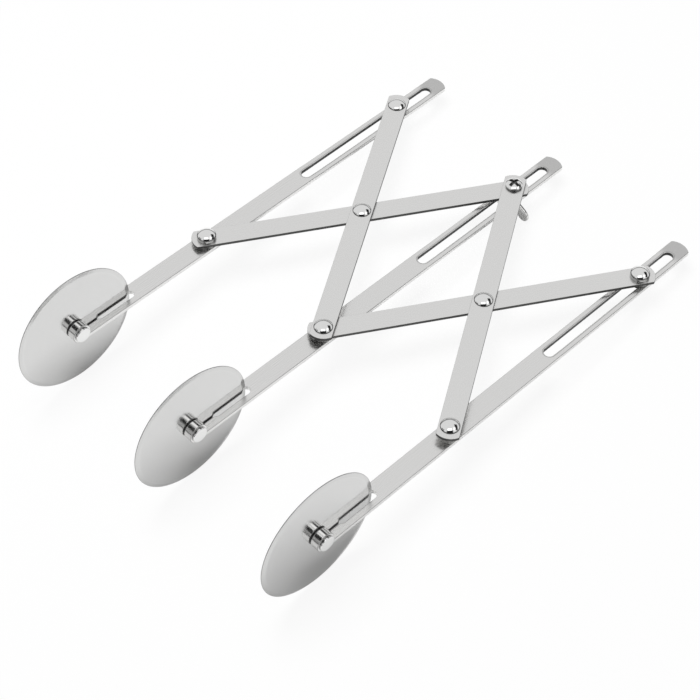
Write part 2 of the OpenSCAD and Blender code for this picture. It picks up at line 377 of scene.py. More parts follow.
@dataclass(frozen=True)
class Sheet:
    """A flat bar with eased edges: ruled faces between the two curves of its rows."""

    rows: Rows
    thickness: float
    outer_ease: float
    inner_ease: float
    columns: int = 9
    steps: int = 5
    support: float = 0.12
    support_most: float = 0.2
    ring_columns: tuple[float, ...] = (0.0,)
    # Dark marks: cut walls are dark partly as a cut finish and partly as painted shade; eased edges get a
    # painted dark line, the ring round a slot a painted dark band and the land behind it painted shade.
    ring_raw: tuple[float, ...] = (0.0,)
    outer_raw: float = 1.0
    edge_raw: float = 0.0
    inner_raw: float = 1.0
    wall_rise: float = 1.6
    pale: tuple[float, float] = (0.0, 0.0)
    pale_raw: float = 0.1
    land_raw: float = 0.0
    land_from: float = 1e6
    land_run: float = 5.0
    polish_before: float = -1e6
    v_shift: float = 0.37

    def shell(self, top: Rule, bend: Rule, seed: float, open_front: bool) -> Shell:
        """Builds both halves of the bar.

        A half is one grid. Its columns run over the top from the inner to the outer
        curve, down the outer edge on two quarter circles, back along the underside
        and up the rim of the cuts. Columns of the rim are kept only along a cut.

        Args:
            top: Height of the top face at points (x, y).
            bend: Map from the flat blank to the bent bar.
            seed: Shift of the surface coordinates, so that bars differ.
            open_front: Whether the first rows are cut ends that need a cap.

        Returns:
            The shell.
        """
        rows, low = self.rows, -self.thickness
        ease_in = np.where(rows.cut[:, None], self.inner_ease, 0.0)
        face = self._face(ease_in)
        swing = np.linspace(0.0, math.pi / 2.0, self.steps)[None, :]
        rim = self._eased(rows.outer, rows.outer_out, np.full_like(ease_in, self.outer_ease), swing)
        lip = self._eased(rows.inner, rows.inner_out, ease_in, swing)
        drop_out = self.outer_ease * (1.0 - np.cos(swing)) + 0.0 * ease_in
        drop_in = ease_in * (1.0 - np.cos(swing))
        plan = self._round(face, rim, face, lip)
        height = np.concatenate([
            top(face), top(rim) - drop_out, low + drop_out[:, ::-1], low + 0.0 * face[..., 0],
            low + drop_in, top(lip[:, ::-1]) - drop_in[:, ::-1], top(face[:, :1])], axis=1)
        wear, raw = self._marks(face, swing)
        kept = self._kept(face.shape[1])
        shell = Shell()
        for sign in (1.0, -1.0):
            flatwise = plan * np.array([1.0, sign])
            points = bend(np.concatenate([flatwise, height[..., None]], axis=-1))
            u, v = plan[..., 0] + seed, sign * (plan[..., 1] - height) + self.v_shift * seed
            index = shell.patch(points, np.stack([u, v], axis=-1), wear, raw, kept)
            if open_front:
                shell.cap(index[0, :-1])
        return shell

    def _face(self, ease_in: Array) -> Array:
        """Points of the top face in plan.

        A row is divided evenly from its border to its outer edge, with one more point
        close to each. Round a slot the ring's own columns come before the border.

        Args:
            ease_in: Radius of the eased edge at the inner end of each row.

        Returns:
            Points of shape (rows, columns, 2).
        """
        rows, ring = self.rows, self.rows.ring[:, None]
        inner = rows.inner - rows.inner_out * ease_in
        outer = rows.outer - rows.outer_out * self.outer_ease
        border = np.where(ring > 0.0, rows.inner - rows.inner_out * ring, inner)
        width = np.linalg.norm(outer - border, axis=1)[:, None]
        near = np.clip(self.support / np.maximum(width, 1e-9), 0.0, self.support_most)
        spread = np.linspace(0.0, 1.0, self.columns)[None, :]
        across = np.concatenate([0.0 * near, near + (1.0 - 2.0 * near) * spread, 1.0 + 0.0 * near], axis=1)
        face = border[:, None] + (outer - border)[:, None] * across[..., None]
        band = inner[:, None] + (border - inner)[:, None] * np.asarray(self.ring_columns)[None, :, None]
        return np.concatenate([band, face], axis=1)

    def _marks(self, face: Array, swing: Array) -> tuple[Array, Array]:
        """How rubbed each column is, and how far it is left raw or darkened as painted shade.

        Rubbing is the sine of twice the angle on an eased edge. Walls are dark from a cubic
        step of that angle on, partly as a cut finish and partly as painted shade. Eased edges
        get a painted dark line, the ring round a slot a painted dark band, and the land behind
        the slot painted shade from a cubic step of x.

        Args:
            face: Points of the top face in plan.
            swing: Angles from the flat face to the wall.

        Returns:
            The two grids, with values from 0 to 1.
        """
        rows, on_cut = self.rows, self.rows.cut[:, None]
        nil, bare = np.zeros(on_cut.shape), len(self.ring_columns)
        rub = np.sin(2.0 * swing) + nil
        flat = smooth_step(self.polish_before - face[..., 0])
        wear = self._round(flat, rub * (1.0 - self.edge_raw), flat, rub * on_cut)
        wall = smooth_step(self.wall_rise * swing / (math.pi / 2.0)) + nil
        # Outer walls are dark partly as a cut finish and partly as painted shade; eased edges get a painted
        # dark line.
        rim = np.maximum(self.outer_raw * wall, self.edge_raw * rub)
        pale = (rows.inner[:, :1] > self.pale[0]) & (rows.inner[:, :1] < self.pale[1])
        lip = np.where(pale, self.pale_raw, self.inner_raw) * wall * on_cut
        # Painted shade on the land behind the slot.
        upper = self.land_raw * smooth_step((face[..., 0] - self.land_from) / self.land_run)
        # Painted dark band in the ring round the slot.
        ringed = np.asarray(self.ring_raw) * (rows.ring[:, None] > 0.0)
        upper[:, :bare] = np.maximum(upper[:, :bare], ringed)
        return wear, self._round(upper, rim, 0.0 * upper, lip)

    def _kept(self, count: int) -> Array:
        """Which squares of the grid are faces: the cuts' walls and the rings only along a slot.

        Args:
            count: Number of columns of the top face.

        Returns:
            True or false for each square.
        """
        rows, bare = self.rows, len(self.ring_columns)
        last = 2 * count + 2 * self.steps
        kept = np.ones((rows.cut.size - 1, last + 2 * self.steps), dtype=bool)
        kept[:, last - 1:] = (rows.cut[:-1] & rows.cut[1:])[:, None]
        ringed = ((rows.ring[:-1] > 0.0) & (rows.ring[1:] > 0.0))[:, None]
        kept[:, :bare] = ringed
        kept[:, last - bare - 1:last - 1] = ringed
        return kept

    @staticmethod
    def _round(face: Array, rim: Array, under: Array, lip: Array) -> Array:
        """Columns once round the section, from the top face back to its first column.

        Args:
            face: Columns of the top face.
            rim: Columns of the outer edge's upper quarter circle.
            under: Columns of the underside, in the order of the top face.
            lip: Columns of the cut's lower quarter circle.

        Returns:
            All the columns, with the edge and the cut repeated upside down.
        """
        parts = [face, rim, rim[:, ::-1], under[:, ::-1], lip, lip[:, ::-1], face[:, :1]]
        return np.concatenate(parts, axis=1)

    @staticmethod
    def _eased(curve: Array, out: Array, ease: Array, swing: Array) -> Array:
        """Quarter circle in plan: curve - out * ease * (1 - sin a).

        Args:
            curve: Points on the edge, of shape (rows, 2).
            out: Normals there, out of the sheet.
            ease: Radius of the quarter circle in each row.
            swing: Angles from the flat face to the wall.

        Returns:
            Points of shape (rows, angles, 2).
        """
        return curve[:, None] - out[:, None] * (ease * (1.0 - np.sin(swing)))[..., None]


def flat_top(plan: Array) -> Array:
    """Height of an even top face: nothing."""
    return 0.0 * plan[..., 0]


def unbent(points: Array) -> Array:
    """Leaves the blank flat."""
    return points


@dataclass(frozen=True)
class Turned:
    """A body of revolution: a profile of (radius, height) carried round the local z."""

    corners: tuple[Triple, ...]
    closed: bool = False
    segments: int = 96
    steps: int = 5
    most: float = 0.45
    support: float = 1.5
    u_radius: float = 3.0
    v_shift: float = 1.7

    def profile(self) -> tuple[Array, Array]:
        """Rounds the corners with quadratic curves and adds a support point on each side.

        A corner p with radius d becomes (1 - t)^2 a + 2 t (1 - t) p + t^2 b, where a and
        b lie d before and after it, or less where an edge is short.

        Returns:
            Points of shape (n, 2), and how far each lies on a rounded corner.
        """
        raw = np.array([(r, z) for r, z, _ in self.corners], dtype=float)
        ease = np.array([e for _, _, e in self.corners], dtype=float)
        before = np.roll(raw, 1, axis=0) - raw
        after = np.roll(raw, -1, axis=0) - raw
        len_in = np.linalg.norm(before, axis=1)
        len_out = np.linalg.norm(after, axis=1)
        cut_in = np.minimum(ease, self.most * len_in)
        cut_out = np.minimum(ease, self.most * len_out)
        before /= np.maximum(len_in, 1e-9)[:, None]
        after /= np.maximum(len_out, 1e-9)[:, None]
        t = np.linspace(0.0, 1.0, self.steps)
        weight = np.stack([(1.0 - t) ** 2, 2.0 * t * (1.0 - t), t ** 2])
        path: list[Array] = []
        rub: list[Array] = []
        for i, p in enumerate(raw):
            if ease[i] <= 0.0:
                path.append(p[None])
                rub.append(np.zeros(1))
                continue
            a, b = p + before[i] * cut_in[i], p + after[i] * cut_out[i]
            curve = weight.T @ np.stack([a, p, b])
            lead = p + before[i] * self.support * cut_in[i]
            tail = p + after[i] * self.support * cut_out[i]
            path.append(np.concatenate([lead[None], curve, tail[None]]))
            rub.append(np.concatenate([[0.0], np.sin(math.pi * t), [0.0]]))
        points, worn = np.concatenate(path), np.concatenate(rub)
        if self.closed:
            points, worn = np.concatenate([points, points[:1]]), np.concatenate([worn, worn[:1]])
        return points, worn

    def shell(self, seed: float, shape: Optional[Rule] = None, raw: Optional[Rule] = None) -> Shell:
        """Carries the profile round: (r cos f, r sin f, z).

        Args:
            seed: Shift of the surface coordinates, so that pieces differ.
            shape: Change to the finished grid of points, such as a thread.
            raw: How far each point of the plain grid is darkened as painted shade.

        Returns:
            The shell, with u round the axis and v along the profile, in millimetres.
        """
        path, worn = self.profile()
        turn = np.linspace(0.0, 2.0 * math.pi, self.segments + 1)
        r, z = path[:, :1], path[:, 1:]
        points = np.stack([r * np.cos(turn), r * np.sin(turn), z + 0.0 * turn], axis=-1)
        run = np.concatenate([[0.0], np.cumsum(np.linalg.norm(np.diff(path, axis=0), axis=1))])
        u = turn[None, :] * self.u_radius + 0.0 * r + seed
        v = run[:, None] + 0.0 * turn + self.v_shift * seed
        shell = Shell()
        shell.patch(shape(points) if shape else points, np.stack([u, v], axis=-1), worn[:, None],
                    raw(points) if raw else 0.0)
        return shell


@dataclass(frozen=True)
class Crevice:
    """Painted shade on a turned piece: bands of height darkened where shade falls in its corners and gaps.
    """

    bands: tuple[tuple[float, float], ...]
    soft: float = 0.12

    def __call__(self, points: Array) -> Array:
        """How far each point lies in a band, with cubic steps at its ends.

        Args:
            points: Grid of points of the turned piece.

        Returns:
            Values from 0 to 1.
        """
        z = points[..., 2]
        parts = [smooth_step((z - low) / self.soft + 1.0) * smooth_step((high - z) / self.soft)
                 for low, high in self.bands]
        return np.maximum.reduce(parts)


def arc_corners(radius: float, bulge: float, base: float, count: int, falling: bool) -> list[Triple]:
    """Profile points of a spherical cap on a base plane.

    With R = (radius^2 + bulge^2) / (2 |bulge|), the height is that of a circle of
    radius R through the rim and the pole.

    Args:
        radius: Radius of the cap's rim.
        bulge: Height of the pole over the base, below it when negative.
        base: Height of the base plane.
        count: Number of points.
        falling: Whether the points run from the rim to the pole.

    Returns:
        Corners (radius, height, ease 0), without the rim itself.
    """
    high = abs(bulge)
    big = (radius ** 2 + high ** 2) / (2.0 * high)
    r = radius * np.sin(np.linspace(0.0, math.pi / 2.0, count + 1))[:-1]
    r = radius * (1.0 - np.linspace(0.0, 1.0, count + 1)[1:]) if falling else r
    z = base + math.copysign(1.0, bulge) * (np.sqrt(big ** 2 - r ** 2) - (big - high))
    return [(float(a), float(b), 0.0) for a, b in zip(r, z)]


def both_sides(half: tuple[Triple, ...]) -> tuple[Triple, ...]:
    """A profile below the plane z = 0 and its mirror image above, in one run."""
    return half + tuple((r, -z, ease) for r, z, ease in reversed(half))


class Graph:
    """A node tree with short helpers."""

    def __init__(self, tree: bpy.types.NodeTree) -> None:
        """Empties the tree and keeps it.

        Args:
            tree: The node tree of a material, world or lamp.
        """
        self.tree = tree
        tree.nodes.clear()

    def node(self, kind: str, **options: Any) -> bpy.types.Node:
        """Adds a node; its sockets named in `inputs` are set to values or linked.

        Args:
            kind: The node's type name.
            **options: Properties of the node, and `inputs`, a dict by socket name or place.

        Returns:
            The node.
        """
        inputs = options.pop("inputs", {})
        node = self.tree.nodes.new(kind)
        for name, value in options.items():
            setattr(node, name, value)
        for name, value in inputs.items():
            if isinstance(value, Socket):
                self.tree.links.new(value, node.inputs[name])
            else:
                node.inputs[name].default_value = value
        return node

    def math(self, operation: str, *values: Any) -> Socket:
        """A Math node on numbers or sockets."""
        return self.node("ShaderNodeMath", operation=operation, inputs=dict(enumerate(values))).outputs[0]

    def dot(self, direction: Socket, axis: Array) -> Socket:
        """The dot product of a direction with a fixed axis."""
        inputs = {0: direction, 1: tuple(axis)}
        return self.node("ShaderNodeVectorMath", operation="DOT_PRODUCT", inputs=inputs).outputs["Value"]

    def noise(self, vector: Socket, scale: float, detail: float, rough: float) -> Socket:
        """A noise value about 0.5 on the given coordinates."""
        inputs = {"Vector": vector, "Scale": scale, "Detail": detail, "Roughness": rough}
        return self.node("ShaderNodeTexNoise", inputs=inputs).outputs["Fac"]

    def stretched(self, vector: Socket, scale: Triple) -> Socket:
        """Coordinates stretched by a Mapping node."""
        return self.node("ShaderNodeMapping", inputs={"Vector": vector, "Scale": scale}).outputs["Vector"]

    def remap(self, value: Socket, start: float, end: float, low: float, high: float) -> Socket:
        """A clamped linear map from start..end to low..high."""
        inputs = {"Value": value, "From Min": start, "From Max": end, "To Min": low, "To Max": high}
        return self.node("ShaderNodeMapRange", inputs=inputs).outputs["Result"]

    def mix(self, factor: Any, first: Any, second: Any) -> Socket:
        """A blend of two colours."""
        inputs = {0: factor, 6: first, 7: second}
        return self.node("ShaderNodeMix", data_type="RGBA", inputs=inputs).outputs[2]

    def attribute(self, name: str) -> Socket:
        """A number stored on the piece's points."""
        return self.node("ShaderNodeAttribute", attribute_name=name).outputs["Fac"]


def shade(colour: Triple, by: float = 1.0) -> tuple[float, float, float, float]:
    """A colour scaled by a factor, with full alpha."""
    return (colour[0] * by, colour[1] * by, colour[2] * by, 1.0)


@dataclass(frozen=True)
class Metal:
    """A worked metal surface: streaks along u, smudges, rubbed edges, raw cut walls and painted shade."""

    name: str
    colour: Triple
    rough: tuple[float, float]
    streak: tuple[float, float]
    anisotropy: float
    relief: float
    tone: float = 0.06
    # Tone of raw cut walls and of painted shade in hollows, gaps and along edges.
    raw_tone: float = 1.0
    raw_rough: float = 0.0
    smudge: float = 0.05
    grain: tuple[float, float] = (0.3, 0.7)
    grain_turn: float = 0.25
    coarse_noise: tuple[float, float] = (5.0, 0.62)
    fine_noise: tuple[float, float] = (2.0, 0.5)
    fine_scale: tuple[float, float] = (5.0, 3.7)
    fine_share: float = 0.35
    smear_noise: tuple[float, float] = (3.0, 0.6)
    smear_scale: float = 55.0
    rubbed_rough: float = 0.7
    rubbed_tone: float = 1.06
    rubbed_share: float = 0.5
    least_rough: float = 0.03
    relief_depth: float = 0.00004

    def material(self) -> bpy.types.Material:
        """Builds the node material, once.

        Noise stretched along u gives the marks of the tool that finished the metal. It
        drives the roughness, the colour and a fine relief. A slow noise over the
        object changes the roughness as handling does. Rounded edges are rubbed
        brighter. Walls left as cut, and bands of painted shade, take their own
        darker tone and roughness.

        Returns:
            The material.
        """
        known = bpy.data.materials.get(self.name)
        if known:
            return known
        made = bpy.data.materials.new(self.name)
        made.use_nodes = True
        graph = Graph(made.node_tree)
        grain = self._grain(graph)
        wear, raw = graph.attribute("wear"), graph.attribute("raw")
        bump = graph.node("ShaderNodeBump", inputs={
            "Strength": self.relief, "Distance": self.relief_depth, "Height": grain})
        inputs = {"Base Color": self._body(graph, grain, wear, raw), "Metallic": 1.0,
                  "Roughness": self._roughness(graph, grain, wear, raw), "Normal": bump.outputs["Normal"]}
        if self.anisotropy > 0.0:
            tangent = graph.node("ShaderNodeTangent", direction_type="UV_MAP", uv_map=UV_NAME)
            inputs |= {"Anisotropic": self.anisotropy, "Anisotropic Rotation": self.grain_turn,
                       "Tangent": tangent.outputs[0]}
        shader = graph.node("ShaderNodeBsdfPrincipled", inputs=inputs)
        graph.node("ShaderNodeOutputMaterial", inputs={"Surface": shader.outputs[0]})
        return made

    def _grain(self, graph: Graph) -> Socket:
        """The tool's marks: a coarse and a fine noise, both stretched along u.

        Args:
            graph: The material's node tree.

        Returns:
            A value about 0.5.
        """
        surface = graph.node("ShaderNodeUVMap", uv_map=UV_NAME).outputs["UV"]
        along, cross = self.streak
        closer = (along * self.fine_scale[0], cross * self.fine_scale[1], 1.0)
        streak = graph.noise(graph.stretched(surface, (along, cross, 1.0)), 1.0, *self.coarse_noise)
        fine = graph.noise(graph.stretched(surface, closer), 1.0, *self.fine_noise)
        coarse = graph.math("MULTIPLY", streak, 1.0 - self.fine_share)
        return graph.math("ADD", coarse, graph.math("MULTIPLY", fine, self.fine_share))

    def _roughness(self, graph: Graph, grain: Socket, wear: Socket, raw: Socket) -> Socket:
        """Roughness from the marks and smudges, more on raw walls and less on rubbed edges.

        Args:
            graph: The material's node tree.
            grain: The tool's marks.
            wear: How rubbed the surface is.
            raw: How far it is left as cut, or darkened as painted shade.

        Returns:
            The roughness.
        """
        space = graph.node("ShaderNodeTexCoord").outputs["Object"]
        smear = graph.math("SUBTRACT", graph.noise(space, self.smear_scale, *self.smear_noise), 0.5)
        rough = graph.remap(grain, *self.grain, *self.rough)
        rough = graph.math("ADD", rough, graph.math("MULTIPLY", smear, self.smudge))
        rough = graph.math("MULTIPLY_ADD", raw, self.raw_rough, rough)
        rough = graph.math("MULTIPLY_ADD", wear, -self.rubbed_rough * self.rough[0], rough)
        return graph.math("MAXIMUM", rough, self.least_rough)

    def _body(self, graph: Graph, grain: Socket, wear: Socket, raw: Socket) -> Socket:
        """Colour from the marks, darker on raw walls and painted shade, brighter on rubbed edges.

        Args:
            graph: The material's node tree.
            grain: The tool's marks.
            wear: How rubbed the surface is.
            raw: How far it is left as cut, or darkened as painted shade.

        Returns:
            The colour.
        """
        marks = graph.remap(grain, *self.grain, 0.0, 1.0)
        body = graph.mix(marks, shade(self.colour, 1.0 - self.tone), shade(self.colour))
        if self.raw_tone != 1.0:
            # Darkens raw cut walls and paints shade where the raw attribute marks it.
            body = graph.mix(raw, body, shade(self.colour, self.raw_tone))
        rubbed = graph.math("MULTIPLY", wear, self.rubbed_share)
        return graph.mix(rubbed, body, shade(self.colour, self.rubbed_tone))


# Each finish's raw tone darkens its cut walls and its painted shade.
SATIN_BAR = Metal("satin_bar", (0.82, 0.817, 0.81), (0.22, 0.31), (0.03, 5.0),
                  anisotropy=0.4, relief=0.07, tone=0.035, raw_tone=0.08, raw_rough=0.1)
SATIN_LINK = Metal("satin_link", (0.83, 0.827, 0.82), (0.22, 0.32), (0.03, 5.0),
                   anisotropy=0.4, relief=0.07, tone=0.035, raw_tone=0.1, raw_rough=0.15)
TURNED_DISC = Metal("turned_disc", (0.71, 0.71, 0.705), (0.10, 0.17), (0.02, 6.0),
                    anisotropy=0.5, relief=0.05, raw_tone=0.22)
TURNED_HUB = Metal("turned_hub", (0.52, 0.52, 0.525), (0.07, 0.14), (0.05, 7.0),
                   anisotropy=0.3, relief=0.05, raw_tone=0.05)
POLISHED = Metal("polished_rivet", (0.86, 0.86, 0.855), (0.04, 0.09), (0.5, 2.0),
                 anisotropy=0.0, relief=0.02, smudge=0.03, raw_tone=0.05, raw_rough=0.1)
# The rings' tone is darkened as painted shade for the shade they sit in under the heads.
SHADED_RING = Metal("bright_washer", (0.45, 0.45, 0.445), (0.08, 0.16), (0.05, 8.0),
                    anisotropy=0.3, relief=0.05, raw_tone=0.12)
CAST_NUT = Metal("satin_nut", (0.78, 0.78, 0.77), (0.16, 0.28), (0.6, 1.2), anisotropy=0.0, relief=0.12)


@dataclass
class Piece:
    """One finished piece: its surface, place, finish and the CAD node it stands for."""

    node: str
    shell: Shell
    place: Local
    finish: Metal
    slot: Slot

    def make(self, bodies: dict[str, str]) -> bpy.types.Object:
        """Makes the object, dresses it and ties it to its body.

        Args:
            bodies: The body of each node.

        Returns:
            The object.
        """
        made = self.shell.mesh(self.node + "_piece", self.place)
        made.data.materials.append(self.finish.material())
        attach(made, bodies[self.node])
        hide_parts(self.node)
        LOG.info("%s on %s: %d faces, %s", made.name, bodies[self.node], len(made.data.polygons),
                 self.finish.name)
        return made


@dataclass(frozen=True)
class Layout:
    """Sizes that several sub-assemblies share."""

    spacing: float = 74.7
    link_pitch: float = 141.3
    pivot_x: float = 75.3
    closed_angle: float = 9.16
    open_angle: float = 64.4
    bar_w: float = 9.8
    arm_t: float = 2.0
    link_t: float = 1.5
    end_bulge: float = 1.8
    axle_d: float = 5.0
    rivet_d: float = 4.0
    run_fit: float = 0.05
    play: float = 0.05
    washer_t: float = 1.0
    corner: float = 0.5

    @property
    def link_angle(self) -> float:
        """Angle between the links and the arms at rest, in radians."""
        return math.asin(self.spacing / self.link_pitch)

    @property
    def rear_x(self) -> float:
        """Where the sliding pins stand at rest."""
        return self.pivot_x + self.link_pitch * math.cos(self.link_angle)

    @property
    def cross_x(self) -> float:
        """Where the links cross."""
        return 0.5 * (self.pivot_x + self.rear_x)

    @property
    def slot_from(self) -> float:
        """Centre of the slot's front end."""
        return self.pivot_x + self.link_pitch * math.cos(math.radians(self.open_angle))

    @property
    def slot_to(self) -> float:
        """Centre of the slot's rear end."""
        return self.pivot_x + self.link_pitch * math.cos(math.radians(self.closed_angle))

    @property
    def end_radius(self) -> float:
        """Radius of the shallow arc at the bars' ends."""
        return ((self.bar_w / 2.0) ** 2 + self.end_bulge ** 2) / (2.0 * self.end_bulge)

    @property
    def low_z(self) -> float:
        """Underside of the lower links."""
        return self.washer_t + self.play

    @property
    def low_top(self) -> float:
        """Top of the lower links."""
        return self.low_z + self.link_t

    @property
    def up_z(self) -> float:
        """Underside of the upper links."""
        return self.low_top + self.play

    @property
    def up_top(self) -> float:
        """Top of the upper links."""
        return self.up_z + self.link_t

    @property
    def head_z(self) -> float:
        """Underside of the fixed rivets' heads."""
        return self.up_top + self.play

    def arm_y(self, side: Side) -> float:
        """Place of an arm across the tool."""
        return side.value * self.spacing


@dataclass
class Arm:
    """One slotted arm with its forked front end, curled up into two eyes."""

    layout: Layout
    side: Side
    slot_w: float = 4.8
    coin_depth: float = 0.15
    coin_ramp: float = 6.0
    rim_w: float = 0.5
    rim_slope: float = 0.07
    end_land: float = 6.0
    fork_half: float = 2.0
    eye_half: float = 1.0
    fork_step_x: float = 12.3
    fork_step_run: float = 0.9
    fork_end: float = 32.296
    curl: float = 290.0
    outer_ease: float = 0.2
    slot_ease: float = 0.25
    hole_land: float = 0.7
    slot_land: float = 0.2
    end_fan: float = 3.6
    ring_past: float = 0.25
    ring_columns: tuple[float, ...] = (0.0, 0.12, 0.35, 0.5, 0.58, 0.66, 0.8)
    # Painted dark band in the ring round the slot.
    ring_raw: tuple[float, ...] = (0.0, 0.0, 0.0, 0.8, 0.8, 0.8, 0.2)
    pale_before: float = 1.5
    pale_after: float = 1.0
    # Painted shade on the land behind the slot.
    land_before: float = 2.0
    land_raw: float = 0.28
    # Painted dark line along the arm's eased edges.
    edge_raw: float = 0.9
    polish_before: float = 0.5
    seed_step: float = 11.0

    def build(self, space: ArmSpace) -> list[Piece]:
        """Builds the arm.

        Args:
            space: The arms' space.

        Returns:
            The arm as one piece.
        """
        sheet = Sheet(self._rows(), self.layout.arm_t, self.outer_ease, self.slot_ease,
                      ring_columns=self.ring_columns, ring_raw=self.ring_raw,
                      outer_raw=0.0, edge_raw=self.edge_raw,
                      pale=(self.fork_end - self.pale_before, self.fork_end + self.pale_after),
                      land_raw=self.land_raw, land_from=self.layout.slot_to - self.land_before,
                      polish_before=self.polish_before)
        shell = sheet.shell(self._top, self._bend, self.seed_step * (self.side.value + 2), True)
        place = space.upright(0.0, self.layout.arm_y(self.side))
        return [Piece(f"arm_{self.side.label}", shell, place, SATIN_BAR, Slot.BAR)]

    @property
    def _tip(self) -> float:
        """The arm's rear end on its centre line."""
        return self.layout.slot_to + self.slot_w / 2.0 + self.end_land + self.layout.end_bulge

    @property
    def _ring(self) -> float:
        """Width of the band round the slot that the coined rim lies in."""
        return self.rim_w + self.ring_past

    @property
    def _roll(self) -> float:
        """Radius of the sheet's middle in the curled eye."""
        return self.layout.axle_d / 2.0 + self.layout.arm_t / 2.0

    def _rows(self) -> Rows:
        """Rows from the free ends of the eyes to the rear end.

        Returns:
            The rows: fork, rivet hole, long slot and end.
        """
        lay, half = self.layout, self.layout.bar_w / 2.0
        r_hole, r_slot = lay.rivet_d / 2.0, self.slot_w / 2.0
        land, clear = self.hole_land, self._ring + self.slot_land
        before_slot = lay.slot_from - self.slot_w
        pivot = self._tip - self.end_fan
        return Rows.join([
            self._fork_rows(half),
            Rows.solid(self.fork_end + land, lay.pivot_x - r_hole - land, 6, half),
            Rows.hole(lay.pivot_x, lay.pivot_x, r_hole, half),
            Rows.solid(lay.pivot_x + r_hole + land, before_slot, 6, half),
            Rows.solid(before_slot + self.slot_land, lay.slot_from - r_slot - clear, 3, half),
            self._slot_rows(r_slot, half),
            Rows.solid(lay.slot_to + r_slot + clear, pivot, 5, half),
            Rows.end(pivot, self._tip, half, lay.end_radius, lay.corner)])

    def _fork_rows(self, half: float) -> Rows:
        """Rows past the fork's slot, from the free ends of the eyes to its round end.

        The half width rises from the eyes' to the fork's on a cubic step. Its normal
        follows from the slope, 6 t (1 - t) over the step's length.

        Args:
            half: Half the bar's width.

        Returns:
            The rows.
        """
        curled = -self._roll * math.radians(self.curl)
        step = np.linspace(self.fork_step_x - self.fork_step_run, self.fork_step_x + self.fork_step_run, 17)
        s = np.concatenate([np.linspace(curled, 0.0, 59), np.linspace(0.0, step[0], 6)[1:], step[1:],
                            np.linspace(step[-1], self.fork_end - self.fork_half, 8)[1:]])
        t = np.clip((s - step[0]) / (step[-1] - step[0]), 0.0, 1.0)
        wider = self.fork_half - self.eye_half
        slope = wider * 6.0 * t * (1.0 - t) / (step[-1] - step[0])
        norm = np.hypot(slope, 1.0)
        prongs = Rows.of(s, self.eye_half + wider * smooth_step(t), slope / norm, -1.0 / norm, half, True)
        a = arc_angles(0.0, 90.0, 10)[1:]
        close = Rows.of(self.fork_end - self.fork_half * (1.0 - np.sin(a)), self.fork_half * np.cos(a),
                        -np.sin(a), -np.cos(a), half, True)
        return Rows.join([prongs, close])

    def _slot_rows(self, radius: float, half: float) -> Rows:
        """Rows past the long slot, close together where the pressed strips end.

        Args:
            radius: Half the slot's width.
            half: Half the bar's width.

        Returns:
            The rows.
        """
        lay = self.layout
        ends = Rows.hole(lay.slot_from, lay.slot_to, radius, half, 20, self._ring)
        run = np.linspace(0.05, 1.1, 12) * self.coin_ramp
        ramp = np.concatenate([lay.slot_from + run, lay.slot_to - run[::-1]])
        one = np.ones_like(ramp)
        straight = Rows.of(ramp, radius * one, 0.0 * one, -one, half, True, self._ring)
        count = ends.cut.size // 2
        return Rows.join([ends.pick(slice(0, count)), straight, ends.pick(slice(count, None))])

    def _top(self, plan: Array) -> Array:
        """Height of the top face: strips beside the slot are pressed a little lower.

        Between the slot's end centres the height falls on a cubic step over the full width.
        Round the slot runs a coined rim that slopes evenly down to it.

        Args:
            plan: Points (x, y) on the blank.

        Returns:
            The heights.
        """
        lay, x, y = self.layout, plan[..., 0], plan[..., 1]
        between = np.minimum(x - lay.slot_from, lay.slot_to - x)
        past = np.maximum(np.maximum(lay.slot_from - x, x - lay.slot_to), 0.0)
        inside = self.slot_w / 2.0 + self.rim_w - np.hypot(past, y)
        strips = self.coin_depth * smooth_step(between / self.coin_ramp)
        return -strips - self.rim_slope * np.clip(inside / self.rim_w, 0.0, 1.0)

    def _bend(self, points: Array) -> Array:
        """Rolls the front end up round the axle.

        For s below 0, the angle is -s over the roll radius and the point lies at the
        axle's radius less its height from the axle's centre.

        Args:
            points: Points (s, y, h) of the flat blank.

        Returns:
            The bent points.
        """
        rise = self.layout.axle_d / 2.0
        s, y, h = points[..., 0], points[..., 1], points[..., 2]
        angle, reach = -s / self._roll, rise - h
        rolled = np.stack([-reach * np.sin(angle), y, rise - reach * np.cos(angle)], axis=-1)
        return np.where((s < 0.0)[..., None], rolled, points)


@dataclass
class Link:
    """One flat link with a hole at each end and one in the middle."""

    layout: Layout
    node: str
    start: Side
    layer: Layer
    seed: float
    over: float = 5.0
    ease: float = 0.12
    hole_ease: float = 0.15
    hole_land: float = 0.7
    end_fan: float = 3.4
    # Painted dark line along the eased edges; the link's walls keep the sheet's dark tone, partly a cut
    # finish and partly painted shade.
    edge_raw: float = 0.5

    def build(self, space: ArmSpace) -> list[Piece]:
        """Builds the link: a bar with two shallow round ends and three holes.

        Args:
            space: The arms' space.

        Returns:
            The link as one piece.
        """
        lay, half = self.layout, self.layout.bar_w / 2.0
        radius = lay.rivet_d / 2.0 + lay.run_fit
        tip, land, fan = self.over + lay.end_bulge, self.hole_land, self.end_fan
        rear = Rows.end(lay.link_pitch + fan, lay.link_pitch + tip, half, lay.end_radius, lay.corner)
        front = Rows.end(fan, tip, half, lay.end_radius, lay.corner).mirrored()
        middle = lay.link_pitch / 2.0
        rows = Rows.join([
            front, Rows.hole(0.0, 0.0, radius, half),
            Rows.solid(radius + land, middle - radius - land, 6, half),
            Rows.hole(middle, middle, radius, half),
            Rows.solid(middle + radius + land, lay.link_pitch - radius - land, 6, half),
            Rows.hole(lay.link_pitch, lay.link_pitch, radius, half), rear])
        sheet = Sheet(rows, lay.link_t, self.ease, self.hole_ease, edge_raw=self.edge_raw)
        shell = sheet.shell(flat_top, unbent, self.seed, False)
        upper = self.layer is Layer.UPPER
        top, turn = (lay.up_top, lay.link_angle) if upper else (lay.low_top, -lay.link_angle)
        place = space.upright(lay.pivot_x, lay.arm_y(self.start), top, turn)
        return [Piece(self.node, shell, place, SATIN_LINK, Slot.BAR)]


